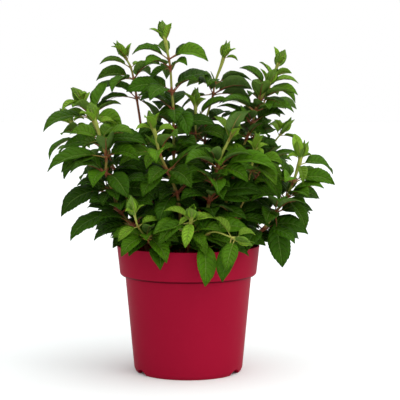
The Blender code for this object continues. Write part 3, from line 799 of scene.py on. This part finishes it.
class HYDRANGEA_OT_pot(bpy.types.Operator):
    """Mould the pot with its deep band, drainage notches and drain holes"""

    bl_idname = "hydrangea.pot"
    bl_label = "Nursery pot"

    def execute(self, context):
        pot = context.scene.hydrangea_pot
        lip = pot.height
        band = pot.height - pot.band_height
        floor = pot.floor_height + pot.floor_thickness
        slope = (pot.body_top_radius - pot.body_base_radius) / band
        inner_foot = pot.body_base_radius + slope * floor - pot.wall
        foot_inner = pot.foot_radius - pot.foot_width
        profile = [(foot_inner, pot.floor_height), (foot_inner, 0), (pot.foot_radius, 0),
                   (pot.body_base_radius, FOOT_RISE),
                   (pot.body_top_radius, band),
                   (pot.band_foot_radius, band),
                   (pot.rim_radius, lip),
                   (pot.rim_radius - pot.wall, lip),
                   (pot.band_foot_radius - pot.wall, band + SHOULDER + pot.wall),
                   (pot.body_top_radius - pot.wall, band + pot.wall),
                   (inner_foot, floor)]
        piece = drawn_round("nursery_pot", profile, 128)
        soften_rings(piece, [(pot.band_foot_radius, band)], SHOULDER * 0.8, 6)
        soften_rings(piece, [(pot.rim_radius, lip), (pot.rim_radius - pot.wall, lip)],
                     pot.wall * 0.4, 3)
        soften_rings(piece, [(pot.foot_radius, 0), (pot.body_base_radius, FOOT_RISE),
                             (foot_inner, 0)], FOOT_SOFTNESS, 3)
        soften_rings(piece, [(pot.body_top_radius, band)], CREASE, 2)
        cut_away(piece, [*notch_cutters(pot), *drain_cutters(pot)])
        surfaced(piece, plastic_finish(pot.colour, band + CREASE), 32)
        belongs(piece, "crimson_plastic", "pot")
        return {"FINISHED"}


# ---------------------------------------------------------------- soil

# Rise of the soil from its edge to its middle.
CROWN = 0.004


def lumpy_surface(soil, edge, rim, rng):
    """The soil's height as a function of place: a low crown, with waves that calm at the edge."""
    waves = [(rng.uniform(60, 420), rng.uniform(0, math.tau), rng.uniform(0, math.tau))
             for _ in range(14)]

    def height(x, y):
        share = min(math.hypot(x, y) / edge, 1)
        lumps = sum(math.sin(k * (x * math.cos(a) + y * math.sin(a)) + p) / (1 + k / 120)
                    for k, a, p in waves)
        return (rim + CROWN * (1 - share * share)
                + soil.lump * 0.28 * lumps * (1 - share ** 6))

    return height


def soil_body(soil, pot, edge, rim, height):
    """The soil, just inside the pot's wall: its top is inset, narrowly at the edge and then in
    eleven even rings, which follow the surface."""
    band = pot.height - pot.band_height
    profile = [(pot.body_base_radius - pot.wall - 0.0002, SOIL_BOX[0].z),
               (pot.body_top_radius - pot.wall - 0.001, band - 0.001),
               (pot.band_foot_radius - pot.wall - 0.0022, band + 0.0076), (edge, rim)]
    piece = drawn_round("potting_mix", profile, 96)
    bpy.ops.object.mode_set(mode="EDIT")
    bm = bmesh.from_edit_mesh(piece.data)
    for face in bm.faces:
        face.select = face.calc_center_median().z > rim - MERGE
    bmesh.update_edit_mesh(piece.data)
    for share in (0.03, *[0.0765] * 11):
        bpy.ops.mesh.inset(thickness=edge * share)
    bpy.ops.mesh.poke()
    bpy.ops.object.mode_set(mode="OBJECT")
    for corner in piece.data.vertices:
        if corner.co.z > rim - MERGE and corner.co.xy.length < edge - 0.001:
            corner.co.z = height(corner.co.x, corner.co.y)
    surfaced(piece, soil_finish(soil.colour), 50)
    return piece


def loose_crumbs(soil, edge, height, rng):
    """Crumbs and bark chips of many shapes, strewn evenly and partly sunk."""
    bpy.ops.object.select_all(action="DESELECT")
    bpy.ops.mesh.primitive_ico_sphere_add(subdivisions=1, radius=1)
    pattern = bpy.context.object
    crumbs = []
    for _ in range(soil.crumbs):
        reach, angle = edge * 0.965 * math.sqrt(rng.random()), rng.uniform(0, math.tau)
        x, y = reach * math.cos(angle), reach * math.sin(angle)
        size = soil.largest_crumb * (0.25 + 0.75 * rng.random() ** 2.5)
        crumb = linked("crumb", pattern.data.copy())
        crumb.location = (x, y, height(x, y) + size * 0.12)
        crumb.rotation_euler = [rng.uniform(0, math.tau) for _ in range(3)]
        crumb.scale = (size, size * rng.uniform(0.45, 0.95), size * rng.uniform(0.3, 0.8))
        for corner in crumb.data.vertices:
            corner.co *= rng.uniform(0.75, 1.2)
        point_values(crumb.data, "tone", [rng.random() ** 2] * len(crumb.data.vertices))
        crumbs.append(crumb)
    bpy.data.objects.remove(pattern, do_unlink=True)
    loose = joined("soil_crumbs", crumbs)
    settle(loose)
    loose.data.materials.append(crumb_finish(soil.colour))
    return loose


class HYDRANGEA_OT_soil(bpy.types.Operator):
    """Fill the pot with lumpy potting soil, with loose crumbs and bark on top"""

    bl_idname = "hydrangea.soil"
    bl_label = "Potting soil"

    def execute(self, context):
        soil, pot = context.scene.hydrangea_soil, context.scene.hydrangea_pot
        edge, rim = SOIL_BOX[1].x, SOIL_BOX[1].z - CROWN
        rng = random.Random(5)
        height = lumpy_surface(soil, edge, rim, rng)
        belongs(soil_body(soil, pot, edge, rim, height), "potting_soil", "potting_soil")
        belongs(loose_crumbs(soil, edge, height, rng), "potting_soil")
        return {"FINISHED"}


# ---------------------------------------------------------------- canes

# Length of a stem's segments and its girth against the plain cane's, and the reach of the green
# tip, of the red about a node and of the red above the soil.
STEM_STEP = 0.0028
STEM_GIRTH = 1.08
GREEN_TIP = 0.05
RED_NODE = 0.007
RED_FOOT = 0.14


def cane_course(cane, settings):
    """The stem's (place, radius) from its foot to its bud, and how red each stretch is."""
    points = flowing(cane.middles, STEM_STEP)
    nodes = [node for node, _ in knuckles(cane, SOIL_BOX[1].z)]
    tip = cane.top()
    blush = random.Random(f"bark {cane.name}").uniform(0.05, 0.75)
    course, redness = [], []
    for place, where in points:
        i = min(int(where), len(cane.radii) - 2)
        radius = cane.radii[i] + (cane.radii[i + 1] - cane.radii[i]) * (where - i)
        near = min([(place - node).length for node in nodes] or [1])
        swell = math.exp(-(near / settings.node_length) ** 2)
        grown = min(1, (tip - place).length / GREEN_TIP)
        course.append((place, radius * (STEM_GIRTH + settings.swelling * swell * grown)))
        low = max(0, 1 - (place.z - SOIL_BOX[1].z) / RED_FOOT)
        redness.append(grown * max(math.exp(-(near / RED_NODE) ** 2), 0.6 * low, blush))
    return course, redness


class HYDRANGEA_OT_canes(bpy.types.Operator):
    """Grow the stems, swollen and red at their nodes and green towards their tips"""

    bl_idname = "hydrangea.canes"
    bl_label = "Canes"

    def execute(self, context):
        settings = context.scene.hydrangea_canes
        bark = bark_finish(settings.young_colour, settings.old_colour, settings.node_colour)
        for cane in canes:
            course, redness = cane_course(cane, settings)
            stem = drawn_tubes(f"stem_{cane.name}", [course], 3)
            tree = KDTree(len(course))
            for i, (place, _) in enumerate(course):
                tree.insert(place, i)
            tree.balance()
            near = [tree.find(corner.co)[1] for corner in stem.data.vertices]
            point_values(stem.data, "redness", [redness[i] for i in near])
            point_values(stem.data, "height", [i / len(course) for i in near])
            stem.data.materials.append(bark)
            belongs(stem, "cane_bark", f"cane_{cane.name}")
        return {"FINISHED"}


# ---------------------------------------------------------------- leaves

# A tooth stands out by this factor and rakes forward by this share of a row, and a blade's ends
# have this half width.
TOOTH_REACH = 1.045
TOOTH_RAKE = 0.22
NARROWEST = 0.03
# How far a petiole starts inside its node, and how far it lies behind the midrib.
PETIOLE_ROOT = 0.0012
PETIOLE_BACK = 0.0005
# The bud's two inner and two outer leaves: length, lean, start below the top, and age.
HEART_LEAVES = (0.024, 0.12, 0.010, 0.0), (0.034, 0.34, 0.015, 0.3)


def outline(share):
    """Half the blade's width along it: broad below the middle, drawn out to a fine end."""
    if share <= 0 or share >= 1:
        return NARROWEST
    tail = max(0, (share - 0.78) / 0.22)
    wide = math.sin(math.pi * share ** 0.86) ** 0.68 * (1 - 0.26 * tail * (2 - tail))
    return max(NARROWEST, wide)


def pattern_blade(columns, rows):
    """A flat blade from -1 to 1 across and 0 to 1 along, toothed if it has many rows."""
    name = f"pattern_blade_{rows}"
    found = bpy.data.meshes.get(name)
    if found:
        return found
    bpy.ops.object.select_all(action="DESELECT")
    bpy.ops.mesh.primitive_grid_add(x_subdivisions=columns, y_subdivisions=rows, size=2,
                                    calc_uvs=True)
    blade = bpy.context.object
    blade.data.name = name
    blade.data.uv_layers[0].name = "blade"
    bpy.ops.object.mode_set(mode="EDIT")
    bpy.ops.mesh.select_mode(type="VERT")
    bpy.ops.transform.translate(value=(0, 1, 0))
    bpy.ops.transform.resize(value=(1, 0.5, 1), center_override=(0, 0, 0))
    near = 0.2 / rows
    for row in range(rows + 1):
        share = row / rows
        choose(blade, lambda place: abs(place.y - share) < near)
        bpy.ops.transform.resize(value=(outline(share), 1, 1), center_override=(0, 0, 0))
    for row in range(1, rows - 1, 2) if rows > 12 else ():
        share = row / rows
        margin = outline(share) * 0.95
        choose(blade, lambda place: abs(place.y - share) < near and abs(place.x) > margin)
        bpy.ops.transform.resize(value=(TOOTH_REACH, 1, 1), center_override=(0, 0, 0))
        bpy.ops.transform.translate(value=(0, TOOTH_RAKE / rows, 0))
    bpy.ops.object.mode_set(mode="OBJECT")
    pattern = blade.data
    pattern.use_fake_user = True
    bpy.data.objects.remove(blade, do_unlink=True)
    return pattern


def lay_blade(leaf, settings, rng, grid):
    """A copy of the pattern laid along the leaf's midrib, folded, cupped and waved."""
    mesh = pattern_blade(*grid).copy()
    places = places_of(mesh)
    out, share = places[:, 0], places[:, 1]
    young = 1 - leaf.age
    t = PETIOLE_END + (1 - PETIOLE_END) * share
    start, run, bend, side = [np.array(v) for v in (leaf.start, leaf.run, leaf.bend, leaf.side)]
    spine = start + run * t[:, None] + bend * (t * t)[:, None]
    tangent = run + bend * (2 * t)[:, None]
    tangent /= np.linalg.norm(tangent, axis=1)[:, None]
    normal = np.cross(side, tangent)
    length = leaf.length()
    half = leaf.half_width * settings.width * rng.uniform(0.93, 1.06)
    fold = settings.fold * (1 + 0.75 * young) * rng.uniform(0.7, 1.25)
    flat = np.abs(out)
    wave = rng.uniform(0.02, 0.09) * (1 - 0.6 * young)
    phase, turns = rng.uniform(0, math.tau), rng.uniform(2.2, 3.4)
    ripple = wave * np.sin(math.tau * turns * share + phase + np.sign(out) * 0.9) * flat ** 2
    lift = half * (math.sin(fold) * flat - settings.droop * (1 - 0.7 * young) * flat ** 2 + ripple)
    across = half * out * math.cos(fold)
    twist = rng.uniform(-0.42, 0.42) * share
    across, lift = (across * np.cos(twist) - lift * np.sin(twist),
                    across * np.sin(twist) + lift * np.cos(twist))
    hang = settings.recurve * (1 - 0.8 * young) * rng.uniform(0.3, 1.2)
    lift -= hang * length * np.maximum(0, share - 0.62) ** 2
    swerve = rng.uniform(-0.10, 0.10) * length * share ** 2
    set_places(mesh, spine + side * (across + swerve)[:, None] + normal * lift[:, None])
    count = len(mesh.vertices)
    point_values(mesh, "age", [leaf.age] * count)
    point_values(mesh, "tone", [min(1, max(0, rng.gauss(0.5, 0.26)))] * count)
    return linked("blade", mesh)


def petiole_course(leaf, radius):
    """From inside the node to most of the way up the back of the midrib, ever thinner."""
    inside = leaf.host + (leaf.host - leaf.place(PETIOLE_END)).normalized() * PETIOLE_ROOT
    down = leaf.side.cross(leaf.run).normalized() * -PETIOLE_BACK
    small = min(1, leaf.length() / 0.05)
    course = [(inside, radius * 1.5 * small), (leaf.host, radius * 1.45 * small)]
    for t in (0.05, 0.10, 0.16, 0.30, 0.5, 0.75):
        behind = down * (1 if t > 0.12 else t / 0.12)
        course.append((leaf.place(t) + behind, radius * (1.1 - t * 1.15) * small))
    return course


def dressed_leaves(name, leaves, scene, rng, grid, extra=()):
    """One piece: the blades, thickened, with their petioles and whatever else is given."""
    settings, bark = scene.hydrangea_leaves, scene.hydrangea_canes
    blades = joined(name, [lay_blade(leaf, settings, rng, grid) for leaf in leaves])
    blades.data.materials.append(material("leaf_top", leaf_finish, "leaf_top", settings, False))
    blades.data.materials.append(material("leaf_underside", leaf_finish, "leaf_underside",
                                          settings, True))
    solid = blades.modifiers.new("thickness", "SOLIDIFY")
    solid.thickness = settings.thickness
    solid.offset = -1
    solid.material_offset = 1
    apply_all(blades)
    bpy.ops.object.shade_smooth()
    courses = [petiole_course(leaf, bark.petiole_radius) for leaf in leaves]
    stalks = drawn_tubes("stalks", courses, 1)
    age = sum(leaf.age for leaf in leaves) / len(leaves)
    others = [stalks, *extra]
    for obj in others:
        point_values(obj.data, "age", [age] * len(obj.data.vertices))
        obj.data.materials.append(material("petiole", petiole_finish, bark.young_colour,
                                           bark.node_colour))
    return joined(name, [blades, *others])


def node_collar(pair):
    """The swollen joint that a pair of petioles springs from."""
    radius = sum((leaf.host - pair.node).length for leaf in pair.leaves) / len(pair.leaves)
    along = (pair.leaves[0].host - pair.leaves[1].host).normalized()
    axis = (UP - along * UP.dot(along)).normalized()
    bpy.ops.object.select_all(action="DESELECT")
    bpy.ops.mesh.primitive_torus_add(major_segments=14, minor_segments=7, location=pair.node,
                                     rotation=axis.to_track_quat("Z", "Y").to_euler(),
                                     major_radius=radius * 0.72, minor_radius=radius * 0.36)
    collar = bpy.context.object
    settle(collar)
    bpy.ops.object.shade_smooth()
    return collar


class HYDRANGEA_OT_grown_leaves(bpy.types.Operator):
    """Dress each grown pair as two veined leaves on petioles from a swollen node"""

    bl_idname = "hydrangea.grown_leaves"
    bl_label = "Grown leaf pairs"

    def execute(self, context):
        for pair in pairs:
            rng = random.Random(pair.name)
            piece = dressed_leaves(f"grown_{pair.name}", pair.leaves, context.scene, rng, FINE_GRID,
                                   [node_collar(pair)])
            belongs(piece, "leaf_blade", pair.name)
        return {"FINISHED"}


def heart_leaves(cane, rng):
    """The smallest leaves, which stand round the bud and cup it."""
    top = cane.top()
    axis = (top - cane.middles[-3]).normalized()
    level = axis.orthogonal().normalized()
    turn = rng.uniform(0, math.tau)
    leaves = []
    for i in range(4):
        outer = i > 1
        length, lean, below, age = HEART_LEAVES[outer]
        angle = turn + math.pi * i + math.pi / 2 * outer
        outwards = (level * math.cos(angle) + axis.cross(level) * math.sin(angle)).normalized()
        run = (axis + outwards * lean).normalized() * length
        side = run.cross(-outwards).normalized()
        start = top - axis * below
        leaves.append(Leaf(start, start, run, outwards * -length * 0.26, side, length * 0.31, age))
    return leaves


class HYDRANGEA_OT_young_leaves(bpy.types.Operator):
    """Dress each cane's own leaves, from the cupped tip down to the small low ones"""

    bl_idname = "hydrangea.young_leaves"
    bl_label = "Young leaves"

    def execute(self, context):
        for cane in canes:
            rng = random.Random(cane.name)
            leaves = cane.leaves + heart_leaves(cane, rng)
            piece = dressed_leaves(f"young_leaves_{cane.name}", leaves, context.scene, rng,
                                   PLAIN_GRID)
            belongs(piece, "leaf_blade", f"cane_{cane.name}")
        return {"FINISHED"}


# ---------------------------------------------------------------- side shoot leaves

# No leaf is added this near the bud. A node gets this many tries, each turned on from the last,
# and the later half of them with shorter leaves.
BARE_TIP = 0.030
TRIES = 60
TURN = 2.4
LENGTHS = 0.044, 0.062
RISES = -0.35, 0.55
# The room it leaves to the edges of the plant's box, and to the leaves and stems placed before it.
EDGE_ROOM = 0.004
LEAF_ROOM = 0.0033


def facing(start, course):
    """The level line across a blade whose face looks up and to the plant's outside."""
    light = Vector((0.35 * start.x, start.y - 0.060, 0)).normalized()
    pull = (1 - max(0, course.z)) ** 2
    face = (UP - course * course.z).normalized() + (light - course * light.dot(course)) * pull
    return course.cross(face).normalized()


def leaf_samples(leaf):
    """A few places spread over a leaf."""
    return [leaf.place(t) + leaf.side * (leaf.half_width * out * (1.25 - t))
            for t in (0.25, 0.4, 0.55, 0.7, 0.85, 1.0) for out in (-0.9, 0, 0.9)]


class Crowd:
    """Places taken by leaves and stems, to keep a further leaf clear of them."""

    def __init__(self, places):
        self.places = list(places)
        self.grow()

    def grow(self, more=()):
        self.places += more
        self.tree = KDTree(len(self.places))
        for i, place in enumerate(self.places):
            self.tree.insert(place, i)
        self.tree.balance()

    def clear_of(self, places, gap):
        return all(self.tree.find(place)[2] > gap for place in places)


def inside_plant(place):
    """Over the rim, and inside the edges of the plant's box."""
    low, high = CAD_BOX
    return (POT_BOX[1].z + EDGE_ROOM < place.z < high[2] - EDGE_ROOM
            and all(low[k] + EDGE_ROOM < place[k] < high[k] - EDGE_ROOM for k in (0, 1)))


def axil_leaves(cane, settings, crowd, rng):
    """Leaves of the short side shoots at the cane's nodes, where there is room for them."""
    found = []
    for node, radius in knuckles(cane, POT_BOX[1].z + EDGE_ROOM, SHORTEST_KNUCKLE):
        below = (cane.top() - node).length
        if below < BARE_TIP:
            continue
        turn = rng.uniform(0, math.tau)
        height = (node.z - POT_BOX[1].z) / (CAD_BOX[1][2] - POT_BOX[1].z)
        most = len(found) + round(settings.axil_leaves * (1.45 - 1.3 * height))
        for attempt in range(TRIES):
            if len(found) >= most:
                break
            angle = turn + attempt * TURN
            length = rng.uniform(*LENGTHS) * (1 if attempt < TRIES / 2 else 0.75)
            course = Vector((math.cos(angle), math.sin(angle), rng.uniform(*RISES))).normalized()
            lift = (UP - course * course.z) * (0.6 * length)
            host = node + course * radius * 0.8
            leaf = Leaf(host, host, course * length + lift, -lift, facing(node, course),
                        length * 0.28, min(1, max(0.3, below / 0.12)))
            samples = leaf_samples(leaf)
            if all(map(inside_plant, samples)) and crowd.clear_of(samples, LEAF_ROOM):
                found.append(leaf)
                crowd.grow(samples)
    return found


class HYDRANGEA_OT_axil_leaves(bpy.types.Operator):
    """Fill the plant with the leaves of short side shoots, each where it has room"""

    bl_idname = "hydrangea.axil_leaves"
    bl_label = "Side shoot leaves"

    def execute(self, context):
        settings = context.scene.hydrangea_leaves
        grown = [leaf for plant in (*canes, *pairs) for leaf in plant.leaves]
        crowd = Crowd([place for leaf in grown for place in leaf_samples(leaf)]
                      + [centre for cane in canes for centre in cane.middles
                         if centre.z > POT_BOX[1].z])
        for cane in canes:
            rng = random.Random(f"axil {cane.name}")
            leaves = axil_leaves(cane, settings, crowd, rng)
            if leaves:
                piece = dressed_leaves(f"axil_leaves_{cane.name}", leaves, context.scene, rng,
                                       PLAIN_GRID)
                belongs(piece, "leaf_blade", f"cane_{cane.name}")
        return {"FINISHED"}


# ---------------------------------------------------------------- stage

# The sky is brightest this way.
BRIGHT_SIDE = 0.22, -0.18, 0.94


def area_light(name, place, aim, size, power, colour):
    light = bpy.data.lights.new(name, "AREA")
    light.shape = "DISK"
    light.size = size
    light.energy = power
    light.color = colour
    lamp = linked(name, light)
    lamp.location = place
    lamp.rotation_euler = (Vector(aim) - Vector(place)).to_track_quat("-Z", "Y").to_euler()


def studio_sky(stage):
    """A white backdrop, and light that is strong from one high side and weak from the rest."""
    world = bpy.data.worlds.new("studio")
    world.use_nodes = True
    background = world.node_tree.nodes["Background"]
    background.inputs["Color"].default_value = (1, 1, 1, 1)
    sky = Nodes(world.node_tree)
    way = sky.node("ShaderNodeTexCoord", output="Generated")
    bright = sky.node("ShaderNodeVectorMath", [way, BRIGHT_SIDE], output="Value",
                      operation="DOT_PRODUCT")
    dome = sky.node("ShaderNodeMapRange", {"Value": bright, "To Min": stage.horizon,
                                           "To Max": stage.sky})
    seen = sky.node("ShaderNodeLightPath", output="Is Camera Ray")
    strength = sky.node("ShaderNodeMix", {"Factor": seen, "A": dome, "B": 1.0})
    sky.feed(background.inputs["Strength"], strength)
    return world


class HYDRANGEA_OT_stage(bpy.types.Operator):
    """Set the pale floor, the soft studio light and the camera"""

    bl_idname = "hydrangea.stage"
    bl_label = "Stage"

    def execute(self, context):
        stage = context.scene.hydrangea_stage
        bpy.ops.object.select_all(action="DESELECT")
        bpy.ops.mesh.primitive_circle_add(vertices=96, radius=30, fill_type="NGON")
        floor = context.object
        floor.name = "studio_floor"
        floor.data.materials.append(plain_finish("pale_floor", stage.floor_colour, 0.9))

        context.scene.world = studio_sky(stage)
        area_light("key", place=(1.1, -1.1, 1.6), aim=(0, 0, 0.25), size=0.7, power=stage.key,
                   colour=(1.0, 0.98, 0.94))

        lens = bpy.data.cameras.new("camera")
        lens.lens = stage.focal_length
        camera = linked("camera", lens)
        camera.location = (stage.camera_side, -stage.camera_distance, stage.camera_height)
        camera.rotation_euler = (math.pi / 2 - stage.camera_pitch, 0, 0)
        context.scene.camera = camera
        context.scene.view_settings.view_transform = "Standard"
        return {"FINISHED"}


# ---------------------------------------------------------------- panel and registering

OPERATORS = (HYDRANGEA_OT_pot, HYDRANGEA_OT_soil, HYDRANGEA_OT_canes, HYDRANGEA_OT_grown_leaves,
             HYDRANGEA_OT_young_leaves, HYDRANGEA_OT_axil_leaves, HYDRANGEA_OT_stage)
SETTINGS = {"hydrangea_pot": PotSettings, "hydrangea_soil": SoilSettings,
            "hydrangea_canes": CaneSettings, "hydrangea_leaves": LeafSettings,
            "hydrangea_stage": StageSettings}


class HYDRANGEA_PT_panel(bpy.types.Panel):
    """The plant's steps and their sizes and colours"""

    bl_idname = "HYDRANGEA_PT_panel"
    bl_label = "Potted hydrangea"
    bl_space_type = "VIEW_3D"
    bl_region_type = "UI"
    bl_category = "Hydrangea"

    def draw(self, context):
        for operator in OPERATORS:
            self.layout.operator(operator.bl_idname)
        for name, group in SETTINGS.items():
            box = self.layout.box()
            for field in group.__annotations__:
                box.prop(getattr(context.scene, name), field)


def register():
    for cls in (*SETTINGS.values(), *OPERATORS, HYDRANGEA_PT_panel):
        bpy.utils.register_class(cls)
    for name, group in SETTINGS.items():
        setattr(bpy.types.Scene, name, PointerProperty(type=group))


def unregister():
    for name in SETTINGS:
        delattr(bpy.types.Scene, name)
    for cls in reversed((*SETTINGS.values(), *OPERATORS, HYDRANGEA_PT_panel)):
        bpy.utils.unregister_class(cls)


def main():
    register()
    bpy.ops.hydrangea.pot()
    bpy.ops.hydrangea.soil()
    bpy.ops.hydrangea.canes()
    bpy.ops.hydrangea.grown_leaves()
    bpy.ops.hydrangea.young_leaves()
    bpy.ops.hydrangea.axil_leaves()
    bpy.ops.hydrangea.stage()


if __name__ == "__main__":
    main()
